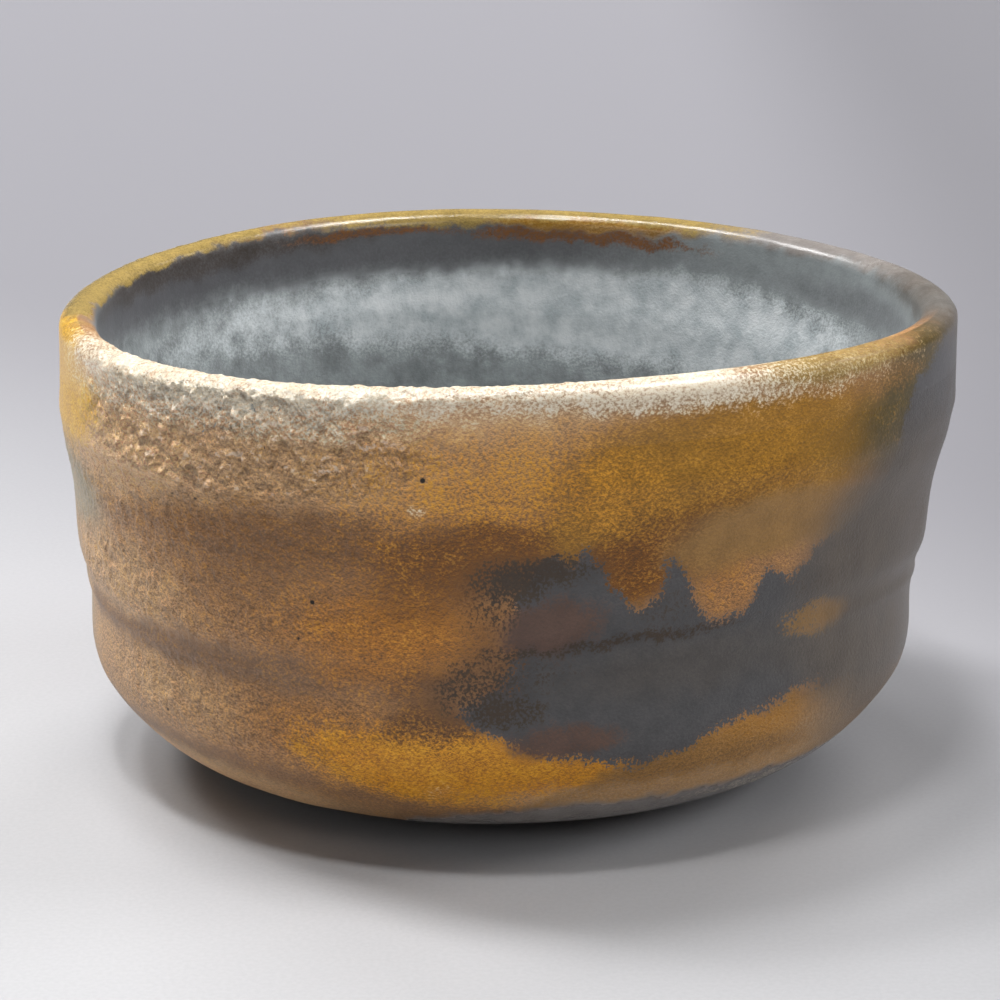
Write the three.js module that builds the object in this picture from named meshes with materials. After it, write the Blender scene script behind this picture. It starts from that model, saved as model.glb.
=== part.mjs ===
// A hand-thrown stoneware tea bowl: a thrown clay body, a foot ring luted under it, and three coats
// of glaze, inside, over the lip, and outside down round the hip.
// Millimetres, +Z up. The table is z = 0 and the front faces -Y. A bearing is 0 at the front and
// grows towards +X. Diameters and heights of the wall are finished ones, over the glaze.
import * as THREE from "three";

// Foot ring
const FOOT_DIAMETER = 56;
const FOOT_RING_WIDTH = 6.5;
const FOOT_HEIGHT = 4.4;
const FOOT_BEVEL = 0.8;
const FOOT_NUB_HEIGHT = 0.9;
const FOOT_NUB_DIAMETER = 16;

// Outside of the wall: its width at the neck, how much narrower it is elsewhere, and heights
const NECK_DIAMETER = 125.9;
const UNDERSIDE_TAPER = 34.1;
const HIP_TAPER = 11.9;
const BELLY_TAPER = 9.1;
const WAIST_TAPER = 6.2;
const SHOULDER_TAPER = 4.2;
const COLLAR_TAPER = 0.1;
const LIP_TAPER = 0.2;
const UNDERSIDE_HEIGHT = 4.9;
const HIP_HEIGHT = 14;
const BELLY_HEIGHT = 25;
const WAIST_HEIGHT = 28.9;
const SHOULDER_HEIGHT = 41;
const NECK_HEIGHT = 49.9;
const COLLAR_DROP = 10.5;
const LIP_DROP = 2.2;
const BOWL_HEIGHT = 65.2;

// Thicknesses of the clay, and of the glaze over it
const LIP_THICKNESS = 5.4;
const WALL_THICKNESS = 6.4;
const HIP_THICKNESS = 12;
const HEEL_RISE = 3.6;
const FLOOR_THICKNESS = 8.4;
const WELL_DIAMETER = 52;
const WELL_DEPTH = 1.8;
const GLAZE_THICKNESS = 0.8;
const SEAT_GAP = 0.3;

// Where one glaze coat ends and the next begins, along the wall
const OUTER_GLAZE_END = 17;
const LIP_GLAZE_OUTSIDE = 5.5;
const LIP_GLAZE_INSIDE = 7;

// Throwing ridges: the grooves that the fingers left round the wall
const GROOVES = [
  { height: WAIST_HEIGHT, depth: 0.9, width: 2.2 },
  { height: NECK_HEIGHT, depth: 0.3, width: 2.2 },
];

// What the hands did to the round wall: a lean, and waves that go round it a number of times
const LEAN = 1.6;
const SWAY = -0.4;
const MOUTH_WAVES = [
  { count: 2, size: 0.3, bearing: 0.12 },
  { count: 3, size: 0.35, bearing: 0.15 },
];
const LIP_WAVES = [
  { count: 1, size: 1.4, bearing: 0.17 },
  { count: 2, size: 1.15, bearing: 0.32 },
];
const RIDGE_WAVES = [
  { count: 1, size: 2, bearing: -0.63 },
  { count: 2, size: 3.15, bearing: 0.74 },
];
const GLAZE_END_WAVES = [
  { count: 3, size: 0.75, bearing: 0.4 },
  { count: 7, size: 0.35, bearing: 0.22 },
];

// Fineness of the facets
const SLICES = 54;
const OUTSIDE_ROWS = 29;
const LIP_ROWS = 4;
const INSIDE_ROWS = 12;

const COAT_SETBACK = GLAZE_THICKNESS + SEAT_GAP;
const EDGE_THINNING = 0.5;
const FLOOR_HEIGHT = FOOT_HEIGHT + FLOOR_THICKNESS;

// The whole wall follows the neck, its widest place.
const UNDERSIDE_DIAMETER = NECK_DIAMETER - UNDERSIDE_TAPER;
const HIP_DIAMETER = NECK_DIAMETER - HIP_TAPER;
const BELLY_DIAMETER = NECK_DIAMETER - BELLY_TAPER;
const WAIST_DIAMETER = NECK_DIAMETER - WAIST_TAPER;
const SHOULDER_DIAMETER = NECK_DIAMETER - SHOULDER_TAPER;
const COLLAR_DIAMETER = NECK_DIAMETER - COLLAR_TAPER;
const LIP_DIAMETER = NECK_DIAMETER - LIP_TAPER;

// The finished wall line: up the outside, round the lip, and down the inside to the centre.
function wallLine() {
  const lipHeight = BOWL_HEIGHT - LIP_DROP;
  const collarHeight = BOWL_HEIGHT - COLLAR_DROP;
  const lipOutside = LIP_DIAMETER / 2;
  const outside = new THREE.SplineCurve([
    new THREE.Vector2(FOOT_DIAMETER / 2, FOOT_HEIGHT - COAT_SETBACK),
    new THREE.Vector2(UNDERSIDE_DIAMETER / 2, UNDERSIDE_HEIGHT - COAT_SETBACK),
    new THREE.Vector2(HIP_DIAMETER / 2, HIP_HEIGHT),
    new THREE.Vector2(BELLY_DIAMETER / 2, BELLY_HEIGHT),
    new THREE.Vector2(WAIST_DIAMETER / 2, WAIST_HEIGHT),
    new THREE.Vector2(SHOULDER_DIAMETER / 2, SHOULDER_HEIGHT),
    new THREE.Vector2(NECK_DIAMETER / 2, NECK_HEIGHT),
    new THREE.Vector2(COLLAR_DIAMETER / 2, collarHeight),
    new THREE.Vector2(lipOutside, lipHeight),
  ]);
  const lip = new THREE.EllipseCurve(
    lipOutside - LIP_THICKNESS / 2, lipHeight, LIP_THICKNESS / 2, LIP_DROP, 0, Math.PI,
  );
  const inside = new THREE.SplineCurve([
    new THREE.Vector2(lipOutside - LIP_THICKNESS, lipHeight),
    new THREE.Vector2(COLLAR_DIAMETER / 2 - WALL_THICKNESS, collarHeight),
    new THREE.Vector2(SHOULDER_DIAMETER / 2 - WALL_THICKNESS, SHOULDER_HEIGHT),
    new THREE.Vector2(BELLY_DIAMETER / 2 - WALL_THICKNESS, BELLY_HEIGHT),
    new THREE.Vector2(HIP_DIAMETER / 2 - HIP_THICKNESS, FLOOR_HEIGHT + HEEL_RISE),
    new THREE.Vector2(WELL_DIAMETER / 2, FLOOR_HEIGHT),
    new THREE.Vector2(0, FLOOR_HEIGHT - WELL_DEPTH),
  ]);
  return { outside, lip, inside };
}

// Rows of the wall line: each has its point, the way out of the clay there, and its distance along.
function wallRows() {
  const { outside, lip, inside } = wallLine();
  const rows = [];
  const sample = (curve, count) => {
    const began = rows.length ? rows[rows.length - 1].run : 0;
    for (let i = rows.length ? 1 : 0; i <= count; i++) {
      const share = i / count;
      const point = curve.getPointAt(share);
      const along = curve.getTangentAt(share);
      const out = new THREE.Vector2(along.y, -along.x).normalize();
      rows.push({ point, out, run: began + share * curve.getLength() });
    }
  };
  sample(outside, OUTSIDE_ROWS);
  sample(lip, LIP_ROWS);
  sample(inside, INSIDE_ROWS);
  rows[rows.length - 1].out.set(0, 1);
  return rows;
}

const ROWS = wallRows();
const OUTSIDE_LENGTH = ROWS[OUTSIDE_ROWS].run;
const INSIDE_START = ROWS[OUTSIDE_ROWS + LIP_ROWS].run;

// The row nearest to a distance along the wall line.
function rowAt(run) {
  const gaps = ROWS.map((row) => Math.abs(row.run - run));
  return gaps.indexOf(Math.min(...gaps));
}

// A row's point, set back into the clay.
function setBack({ point, out }, depth) {
  return point.clone().addScaledVector(out, -depth);
}

// A row moved a distance along the wall line.
function moved({ point, out }, distance) {
  const along = new THREE.Vector2(-out.y, out.x);
  return { point: point.clone().addScaledVector(along, distance), out };
}

// The sum of waves round the bowl, at a bearing.
function swell(waves, bearing) {
  return waves.reduce(
    (total, wave) => total + wave.size * Math.cos(wave.count * (bearing - wave.bearing)),
    0,
  );
}

// Moves a turned point to where the hands left it: the foot stays true, the lip moves most, and the
// ridges wander up and down half way up the wall.
function handThrown(point, bearing) {
  const rise = THREE.MathUtils.smoothstep(point.y, FOOT_HEIGHT, BOWL_HEIGHT);
  const midway = (4 * rise * (1 - rise)) ** 2;
  const onWall = THREE.MathUtils.smoothstep(
    point.x, WELL_DIAMETER / 2, BELLY_DIAMETER / 2 - HIP_THICKNESS,
  );
  const pressed = GROOVES.reduce(
    (total, { height, depth, width }) => total + depth * Math.exp(-(((point.y - height) / width) ** 2)),
    0,
  );
  const radius = point.x + (swell(MOUTH_WAVES, bearing) * rise - pressed) * onWall;
  const lift = swell(LIP_WAVES, bearing) * rise ** 3 + swell(RIDGE_WAVES, bearing) * midway;
  return new THREE.Vector3(
    radius * Math.sin(bearing) + LEAN * rise + SWAY * midway,
    -radius * Math.cos(bearing),
    point.y + lift * onWall,
  );
}

// Turns a section about the Z axis, slice by slice, so that each slice may differ a little.
function thrownSolid(sectionAt) {
  const section = sectionAt(0);
  const turned = new THREE.LatheGeometry(section, SLICES);
  const position = turned.getAttribute("position");
  for (let slice = 0; slice <= SLICES; slice++) {
    const bearing = ((slice % SLICES) / SLICES) * 2 * Math.PI;
    sectionAt(bearing).forEach((point, row) => {
      const { x, y, z } = handThrown(point, bearing);
      position.setXYZ(slice * section.length + row, x, y, z);
    });
  }
  turned.computeVertexNormals();
  return turned;
}

// The clay body: its skin lies under the glaze, and its underside carries the foot ring.
function clayBody() {
  const nub = FOOT_NUB_DIAMETER / 2;
  const underside = [
    new THREE.Vector2(0, FOOT_HEIGHT - FOOT_NUB_HEIGHT),
    new THREE.Vector2(nub / 2, FOOT_HEIGHT - FOOT_NUB_HEIGHT / 2),
    new THREE.Vector2(nub, FOOT_HEIGHT),
    new THREE.Vector2(FOOT_DIAMETER / 2 - FOOT_RING_WIDTH, FOOT_HEIGHT),
  ];
  const skin = ROWS.map((row) => setBack(row, COAT_SETBACK));
  skin[skin.length - 1].x = 0;
  return thrownSolid(() => [...underside, ...skin]);
}

// The foot ring: flat where it stands, bevelled, and seated under the body.
function footRing() {
  const outer = FOOT_DIAMETER / 2;
  const inner = outer - FOOT_RING_WIDTH;
  const top = FOOT_HEIGHT - SEAT_GAP;
  const ring = [
    new THREE.Vector2(inner + FOOT_BEVEL / 2, 0),
    new THREE.Vector2(outer - FOOT_BEVEL, 0),
    new THREE.Vector2(outer, FOOT_BEVEL),
    new THREE.Vector2(outer, top),
    new THREE.Vector2(inner, top),
    new THREE.Vector2(inner, FOOT_BEVEL / 2),
  ];
  return thrownSolid(() => [...ring, ring[0]]);
}

// A glaze coat from one row of the wall to another, thinned at its edges. Waves move its first edge
// up and down, and each edge that meets another coat stops a little short of it.
function glazeCoat(first, last, { endWaves = [], shortAtFirst = 0, shortAtLast = 0 } = {}) {
  const rows = ROWS.slice(first, last + 1);
  const endsOnAxis = last === ROWS.length - 1;
  return thrownSolid((bearing) => {
    const firstEdge = moved(rows[0], shortAtFirst + swell(endWaves, bearing));
    const laid = [firstEdge, ...rows.slice(1, -1), moved(rows.at(-1), -shortAtLast)];
    const skin = laid.map(({ point }) => point.clone());
    const under = laid.map((row) => setBack(row, GLAZE_THICKNESS)).reverse();
    skin[0].lerp(under.at(-1), EDGE_THINNING);
    if (endsOnAxis) return [...under, ...skin];
    skin.at(-1).lerp(under[0], EDGE_THINNING);
    return [...skin, ...under, skin[0]];
  });
}

function piece(name, geometry, material) {
  const mesh = new THREE.Mesh(geometry, material);
  mesh.name = name;
  return mesh;
}

const stoneware = new THREE.MeshStandardMaterial({ color: 0x5d5650, roughness: 0.85, metalness: 0 });
const ashGlaze = new THREE.MeshStandardMaterial({ color: 0x8a6636, roughness: 0.45, metalness: 0 });
const amberGlaze = new THREE.MeshStandardMaterial({ color: 0xa07a30, roughness: 0.25, metalness: 0 });
const greyGlaze = new THREE.MeshStandardMaterial({ color: 0x8f9797, roughness: 0.35, metalness: 0 });

const OUTER_EDGE = rowAt(OUTER_GLAZE_END);
const LIP_LOWER_EDGE = rowAt(OUTSIDE_LENGTH - LIP_GLAZE_OUTSIDE);
const LIP_INNER_EDGE = rowAt(INSIDE_START + LIP_GLAZE_INSIDE);

const bowl = new THREE.Group();
bowl.add(
  piece("clay_body", clayBody(), stoneware),
  piece("foot_ring", footRing(), stoneware),
  piece(
    "outer_glaze",
    glazeCoat(OUTER_EDGE, LIP_LOWER_EDGE, { endWaves: GLAZE_END_WAVES }),
    ashGlaze,
  ),
  piece(
    "lip_glaze",
    glazeCoat(LIP_LOWER_EDGE, LIP_INNER_EDGE, { shortAtFirst: SEAT_GAP, shortAtLast: SEAT_GAP }),
    amberGlaze,
  ),
  piece("inner_glaze", glazeCoat(LIP_INNER_EDGE, ROWS.length - 1), greyGlaze),
);

// The frame's origin is on the table, under the middle of the bowl's outline.
const middle = new THREE.Box3().setFromObject(bowl).getCenter(new THREE.Vector3());
bowl.position.set(-middle.x, -middle.y, 0);

const part = new THREE.Group();
part.add(bowl);

export default part;
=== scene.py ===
"""Looks of a hand-thrown stoneware tea bowl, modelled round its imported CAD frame.

Lengths are metres unless a name ends in _mm. The table is z = 0 and the front of the bowl faces -Y.
A bearing is an angle round the bowl, 0 at the front and growing towards +X.
"""

from __future__ import annotations

import logging
import math
from collections.abc import Sequence
from dataclasses import dataclass, field
from enum import Enum

import bpy
import numpy as np
from mathutils import Matrix, Vector, noise


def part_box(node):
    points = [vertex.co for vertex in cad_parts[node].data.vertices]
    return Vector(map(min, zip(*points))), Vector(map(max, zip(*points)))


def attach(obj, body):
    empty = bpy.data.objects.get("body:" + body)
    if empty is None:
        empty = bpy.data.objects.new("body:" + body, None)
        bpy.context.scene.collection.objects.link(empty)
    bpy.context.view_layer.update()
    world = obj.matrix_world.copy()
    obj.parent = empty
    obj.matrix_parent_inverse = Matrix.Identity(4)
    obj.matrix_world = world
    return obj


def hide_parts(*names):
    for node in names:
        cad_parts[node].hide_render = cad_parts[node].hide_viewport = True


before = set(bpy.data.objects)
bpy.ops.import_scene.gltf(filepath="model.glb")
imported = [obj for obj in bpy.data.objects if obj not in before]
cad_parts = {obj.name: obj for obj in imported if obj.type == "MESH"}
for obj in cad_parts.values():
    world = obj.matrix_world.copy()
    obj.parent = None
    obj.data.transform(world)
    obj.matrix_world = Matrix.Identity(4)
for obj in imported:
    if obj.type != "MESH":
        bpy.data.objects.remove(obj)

LOG = logging.getLogger("tea_bowl")
MM = 0.001
WELD = MM / 1000
BODY = "root"


def smooth_step(value: np.ndarray, low: float, high: float) -> np.ndarray:
    """Rises smoothly from 0 at low to 1 at high."""
    share = np.clip((value - low) / (high - low), 0, 1)
    return share * share * (3 - 2 * share)


def round_the_bowl(degrees: np.ndarray) -> np.ndarray:
    """Brings angles in degrees to between -180 and 180."""
    return (degrees + 180) % 360 - 180


def mottle(points: np.ndarray, size: float, octaves: int = 2, seed: float = 0.0) -> np.ndarray:
    """Soft noise of about -1 to 1 in space.

    Args:
        points: Places in space, one row each.
        size: Width of the noise's main features.
        octaves: How many finer layers are added.
        seed: Moves the pattern to another part of the noise.

    Returns:
        One value for each point.
    """
    shift = Vector((seed, 2.3 * seed, 3.1 * seed))
    return np.array(
        [noise.fractal(Vector(point) / size + shift, 1.0, 2.1, octaves) for point in points]
    )


def pebbles(points: np.ndarray, size: float, seed: float = 0.0) -> np.ndarray:
    """Rounded bumps side by side, about 1 on the tops and 0 in the creases.

    Args:
        points: Places in space, one row each.
        size: Width of a bump.
        seed: Moves the pattern to another part of the noise.

    Returns:
        One value for each point.
    """
    shift = Vector((seed, 1.7 * seed, 2.9 * seed))
    nearest = np.array([noise.voronoi(Vector(point) / size + shift)[0][:2] for point in points])
    return np.clip(1.4 * (nearest[:, 1] - nearest[:, 0]), 0, 1)


@dataclass(frozen=True)
class Wave:
    """A wave that goes round the bowl a whole number of times."""

    count: int
    size: float
    bearing: float

    def at(self, bearing: np.ndarray) -> np.ndarray:
        """Height of the wave at bearings in radians."""
        return self.size * np.cos(self.count * (bearing - self.bearing))


def swell(waves: Sequence[Wave], bearing: np.ndarray) -> np.ndarray:
    """The sum of several waves at bearings in radians."""
    return sum(wave.at(bearing) for wave in waves)


@dataclass(frozen=True)
class Groove:
    """A groove that the fingers left round the wall."""

    height: float
    depth: float
    width: float


@dataclass
class WallRows:
    """Rows of the finished wall line, up the outside, over the lip and down the inside."""

    radius: np.ndarray
    height: np.ndarray
    out: np.ndarray
    run: np.ndarray
    inside: np.ndarray


def curve_through(points: Sequence[tuple[float, float]], samples: int) -> np.ndarray:
    """A smooth curve through points, sampled densely.

    Args:
        points: The points that the curve goes through.
        samples: How many points to return.

    Returns:
        The sampled points, one row each.
    """
    knots = np.array(points, float)
    last = len(knots) - 1
    place = np.linspace(0, last, samples)
    start = np.minimum(place.astype(int), last - 1)
    share = (place - start)[:, None]
    before, here = knots[np.maximum(start - 1, 0)], knots[start]
    there, after = knots[start + 1], knots[np.minimum(start + 2, last)]
    leaving, arriving = (there - before) / 2, (after - here) / 2
    cubic = 2 * here - 2 * there + leaving + arriving
    square = -3 * here + 3 * there - 2 * leaving - arriving
    return cubic * share**3 + square * share**2 + leaving * share + here


@dataclass(frozen=True)
class ThrownWall:
    """The bowl's wall as it was thrown: its driving sizes, which are those of the CAD source."""

    foot_diameter: float = 56 * MM
    foot_height: float = 4.4 * MM
    underside_diameter: float = 91.8 * MM
    underside_height: float = 4.9 * MM
    hip_diameter: float = 114 * MM
    hip_height: float = 14 * MM
    belly_diameter: float = 116.8 * MM
    belly_height: float = 25 * MM
    waist_diameter: float = 119.7 * MM
    waist_height: float = 28.9 * MM
    shoulder_diameter: float = 121.7 * MM
    shoulder_height: float = 41 * MM
    neck_diameter: float = 125.9 * MM
    neck_height: float = 49.9 * MM
    collar_diameter: float = 125.8 * MM
    collar_drop: float = 10.5 * MM
    lip_diameter: float = 125.7 * MM
    lip_drop: float = 2.2 * MM
    bowl_height: float = 65.2 * MM
    lip_thickness: float = 5.4 * MM
    wall_thickness: float = 6.4 * MM
    hip_thickness: float = 12 * MM
    heel_rise: float = 3.6 * MM
    floor_thickness: float = 8.4 * MM
    well_diameter: float = 52 * MM
    well_depth: float = 1.8 * MM
    coat_setback: float = 1.1 * MM
    lean: float = 1.6 * MM
    sway: float = -0.4 * MM
    grooves: tuple[Groove, ...] = (
        Groove(28.9 * MM, 0.9 * MM, 2.2 * MM),
        Groove(49.9 * MM, 0.3 * MM, 2.2 * MM),
    )
    mouth_waves: tuple[Wave, ...] = (Wave(2, 0.3 * MM, 0.12), Wave(3, 0.35 * MM, 0.15))
    lip_waves: tuple[Wave, ...] = (Wave(1, 1.4 * MM, 0.17), Wave(2, 1.15 * MM, 0.32))
    ridge_waves: tuple[Wave, ...] = (Wave(1, 2 * MM, -0.63), Wave(2, 3.15 * MM, 0.74))
    samples: int = 1200

    @property
    def floor_height(self) -> float:
        """Height of the floor inside, over the foot."""
        return self.foot_height + self.floor_thickness

    def line(self) -> WallRows:
        """Samples the whole wall line densely.

        Returns:
            The line's rows, from the edge of the foot to the middle of the floor inside.
        """
        lip_height = self.bowl_height - self.lip_drop
        collar_height = self.bowl_height - self.collar_drop
        lip_outside = self.lip_diameter / 2
        outside = curve_through(
            [
                (self.foot_diameter / 2, self.foot_height - self.coat_setback),
                (self.underside_diameter / 2, self.underside_height - self.coat_setback),
                (self.hip_diameter / 2, self.hip_height),
                (self.belly_diameter / 2, self.belly_height),
                (self.waist_diameter / 2, self.waist_height),
                (self.shoulder_diameter / 2, self.shoulder_height),
                (self.neck_diameter / 2, self.neck_height),
                (self.collar_diameter / 2, collar_height),
                (lip_outside, lip_height),
            ],
            self.samples,
        )
        turn = np.linspace(0, math.pi, self.samples // 4)
        lip = np.stack(
            [
                lip_outside - self.lip_thickness / 2 * (1 - np.cos(turn)),
                lip_height + self.lip_drop * np.sin(turn),
            ],
            axis=1,
        )
        inside = curve_through(
            [
                (lip_outside - self.lip_thickness, lip_height),
                (self.collar_diameter / 2 - self.wall_thickness, collar_height),
                (self.shoulder_diameter / 2 - self.wall_thickness, self.shoulder_height),
                (self.belly_diameter / 2 - self.wall_thickness, self.belly_height),
                (self.hip_diameter / 2 - self.hip_thickness, self.floor_height + self.heel_rise),
                (self.well_diameter / 2, self.floor_height),
                (0, self.floor_height - self.well_depth),
            ],
            self.samples,
        )
        points = np.vstack([outside, lip[1:], inside[1:]])
        step = np.diff(points, axis=0)
        run = np.concatenate([[0], np.cumsum(np.linalg.norm(step, axis=1))])
        along = np.gradient(points, run, axis=0)
        along /= np.linalg.norm(along, axis=1)[:, None]
        out = np.stack([along[:, 1], -along[:, 0]], axis=1)
        out[-1] = (0, 1)
        top = len(outside) + len(turn) // 2
        return WallRows(points[:, 0], points[:, 1], out, run, np.arange(len(points)) > top)

    def rows(self, runs: np.ndarray) -> WallRows:
        """Rows at given distances along the wall line.

        Args:
            runs: Distances from the edge of the foot.

        Returns:
            The rows there.
        """
        line = self.line()
        out = np.stack([np.interp(runs, line.run, line.out[:, axis]) for axis in (0, 1)], axis=1)
        out /= np.linalg.norm(out, axis=1)[:, None]
        return WallRows(
            np.interp(runs, line.run, line.radius),
            np.interp(runs, line.run, line.height),
            out,
            np.asarray(runs, float),
            np.interp(runs, line.run, line.inside) > 0.5,
        )

    def outside_run(self, height: float) -> float:
        """Distance along the wall line to a height on the outside."""
        line = self.line()
        outer = ~line.inside & (line.radius > self.underside_diameter / 2)
        return float(np.interp(height, line.height[outer], line.run[outer]))

    @property
    def axis(self) -> Vector:
        """Where the wheel's axis stands in the CAD frame: the middle of the foot ring."""
        low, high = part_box("foot_ring")
        return (low + high) / 2

    def hand_thrown(
        self, radius: np.ndarray, height: np.ndarray, bearing: np.ndarray
    ) -> np.ndarray:
        """Moves turned points to where the hands left them, in the CAD frame.

        Args:
            radius: Distances from the wheel's axis.
            height: Heights over the table.
            bearing: Bearings in radians.

        Returns:
            The points in space, one row each.
        """
        rise = smooth_step(height, self.foot_height, self.bowl_height)
        midway = (4 * rise * (1 - rise)) ** 2
        on_wall = smooth_step(
            radius, self.well_diameter / 2, self.belly_diameter / 2 - self.hip_thickness
        )
        pressed = sum(
            groove.depth * np.exp(-(((height - groove.height) / groove.width) ** 2))
            for groove in self.grooves
        )
        reach = radius + (swell(self.mouth_waves, bearing) * rise - pressed) * on_wall
        lift = swell(self.lip_waves, bearing) * rise**3 + swell(self.ridge_waves, bearing) * midway
        return np.stack(
            [
                reach * np.sin(bearing) + self.lean * rise + self.sway * midway + self.axis.x,
                -reach * np.cos(bearing) + self.axis.y,
                height + lift * on_wall,
            ],
            axis=1,
        )


@dataclass(frozen=True)
class ToneLook:
    """How a tone looks: its colour as a hex code, its gloss, its specks and its borders."""

    colour: str
    roughness: float
    speckle: float
    grain: float
    edge: float


class Tone(Enum):
    """The fired tones of clay and glaze, in the order in which they lie over each other."""

    TAN = ToneLook("#A2774D", 0.46, 0.6, 0.0, 0.5)
    SAND = ToneLook("#D4AF84", 0.42, 0.55, 0.25, 0.5)
    MIST = ToneLook("#A09880", 0.4, 0.1, 0.15, 0.5)
    MAUVE = ToneLook("#85664C", 0.42, 0.3, 0.25, 0.5)
    UMBER = ToneLook("#6E4B2B", 0.46, 0.55, 0.3, 0.5)
    GINGER = ToneLook("#AC7026", 0.46, 0.65, 0.4, 0.5)
    BARK = ToneLook("#784A10", 0.46, 0.65, 0.45, 0.5)
    AMBER = ToneLook("#9D6F1E", 0.32, 0.45, 0.35, 0.48)
    OLIVE = ToneLook("#50441C", 0.3, 0.2, 0.25, 0.5)
    GOLD = ToneLook("#CB8A1E", 0.4, 0.6, 0.6, 0.5)
    HONEY = ToneLook("#D0A132", 0.34, 0.4, 0.5, 0.45)
    OCHRE = ToneLook("#926A35", 0.4, 0.5, 0.5, 0.42)
    BUFF = ToneLook("#926E3C", 0.38, 0.12, 0.2, 0.5)
    SLATE = ToneLook("#4F4E4F", 0.33, 0.15, 0.8, 0.1)
    SMOKE = ToneLook("#595149", 0.36, 0.08, 0.1, 0.5)
    PLUM = ToneLook("#5F483D", 0.34, 0.12, 0.4, 0.3)
    INK = ToneLook("#3F3226", 0.32, 0.15, 0.6, 0.2)
    STEEL = ToneLook("#857E79", 0.22, 0.08, 0.1, 0.5)
    ASH = ToneLook("#8C9192", 0.38, 0.05, 0.15, 0.5)
    CLOUD = ToneLook("#C4C9CB", 0.4, 0.05, 0.45, 0.4)
    DUSK = ToneLook("#565558", 0.36, 0.05, 0.25, 0.5)
    RUST = ToneLook("#74481E", 0.2, 0.3, 0.4, 0.3)
    STRAW = ToneLook("#98814A", 0.17, 0.3, 0.3, 0.35)
    CREAM = ToneLook("#DDD0B8", 0.26, 0.15, 0.5, 0.25)

    @property
    def layer(self) -> str:
        """The name of the mesh layer that holds the tone's cover."""
        return self.name.lower()


INSIDE_TONES = (Tone.ASH, Tone.CLOUD, Tone.DUSK, Tone.RUST, Tone.STRAW, Tone.AMBER)
OUTSIDE_TONES = tuple(tone for tone in Tone if tone not in (Tone.ASH, Tone.CLOUD, Tone.DUSK))


class Face(Enum):
    """The sides of the wall that a stroke of glaze lies on."""

    OUTSIDE = "outside"
    INSIDE = "inside"
    BOTH = "both"


@dataclass(frozen=True)
class Canvas:
    """Places on the wall that glaze is painted on: bearings in degrees and heights in mm."""

    bearing: np.ndarray
    height: np.ndarray
    inside: np.ndarray

    def covered_by(self, face: Face) -> np.ndarray:
        """1 where a stroke on that face may lie, else 0."""
        if face is Face.BOTH:
            return np.ones_like(self.bearing)
        return (self.inside == (face is Face.INSIDE)).astype(float)


@dataclass(frozen=True)
class Patch:
    """A soft round patch of one tone. Bearings and half widths are degrees, the rest mm."""

    tone: Tone
    bearing: float
    height: float
    wide: float
    tall: float
    strength: float = 1.0
    soft: float = 0.5
    face: Face = Face.OUTSIDE

    def cover(self, canvas: Canvas) -> np.ndarray:
        """How much of each place the patch covers, from 0 to 1."""
        across = round_the_bowl(canvas.bearing - self.bearing) / self.wide
        up = (canvas.height - self.height) / self.tall
        distance = np.hypot(across, up)
        inner = 1 - smooth_step(distance, 1 - self.soft, 1 + self.soft)
        return self.strength * inner * canvas.covered_by(self.face)


@dataclass(frozen=True)
class Band:
    """A band of one tone between two edges, each given as (bearing in degrees, height in mm)."""

    tone: Tone
    lower: tuple[tuple[float, float], ...]
    upper: tuple[tuple[float, float], ...]
    strength: float = 1.0
    soft: float = 1.0
    spread: float = 0.0
    face: Face = Face.OUTSIDE

    def cover(self, canvas: Canvas) -> np.ndarray:
        """How much of each place the band covers, from 0 to 1."""
        parts = []
        first, last = self.lower[0][0], self.lower[-1][0]
        begun = smooth_step(canvas.bearing, first, first + 3)
        ended = smooth_step(canvas.bearing, last - 3, last)
        length = begun * (1 - ended) if last - first < 360 else 1
        for offset in np.linspace(-self.spread, self.spread, 5 if self.spread else 1):
            low = np.interp(canvas.bearing + offset, *zip(*self.lower), period=360)
            high = np.interp(canvas.bearing + offset, *zip(*self.upper), period=360)
            over = smooth_step(canvas.height - low, -self.soft, self.soft)
            under = smooth_step(high - canvas.height, -self.soft, self.soft)
            parts.append(over * under)
        return self.strength * length * sum(parts) / len(parts) * canvas.covered_by(self.face)


DARK_FLOW_TOP = (
    (-9, 0), (-7, 23.4), (-5, 24), (-3, 25), (-1, 27), (1, 29.5), (2, 34), (2, 38), (2.5, 41),
    (4, 42.5), (6, 43), (8, 41), (9.5, 45), (11, 41.5), (13.5, 36.5), (16, 33.8), (18.5, 34.5),
    (20, 42), (22, 37.5), (24, 33.5), (26, 31), (29, 30.5), (31.5, 31.5), (33, 35), (34.5, 36.8),
    (36, 35), (38, 34.5), (40, 35.5), (43, 38), (46, 39.5), (50, 41.5), (53, 44), (54.5, 49),
    (56, 56), (60, 60), (68, 63), (80, 64), (100, 60), (125, 48), (140, 30), (150, 0),
)
DARK_FLOW_FOOT = (
    (-9, 30), (-7, 23.5), (-3.5, 21), (0, 19.6), (4, 18.5), (6, 17.4), (10, 16.4), (13, 16),
    (15, 15.3), (18, 15.4), (24, 16.2), (27, 17.5), (31, 18.7), (36, 19.3), (41, 20), (43, 21.5),
    (46, 20.2), (50, 19.6), (58, 18.5), (70, 17), (90, 15), (120, 14), (140, 18), (150, 30),
)

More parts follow.
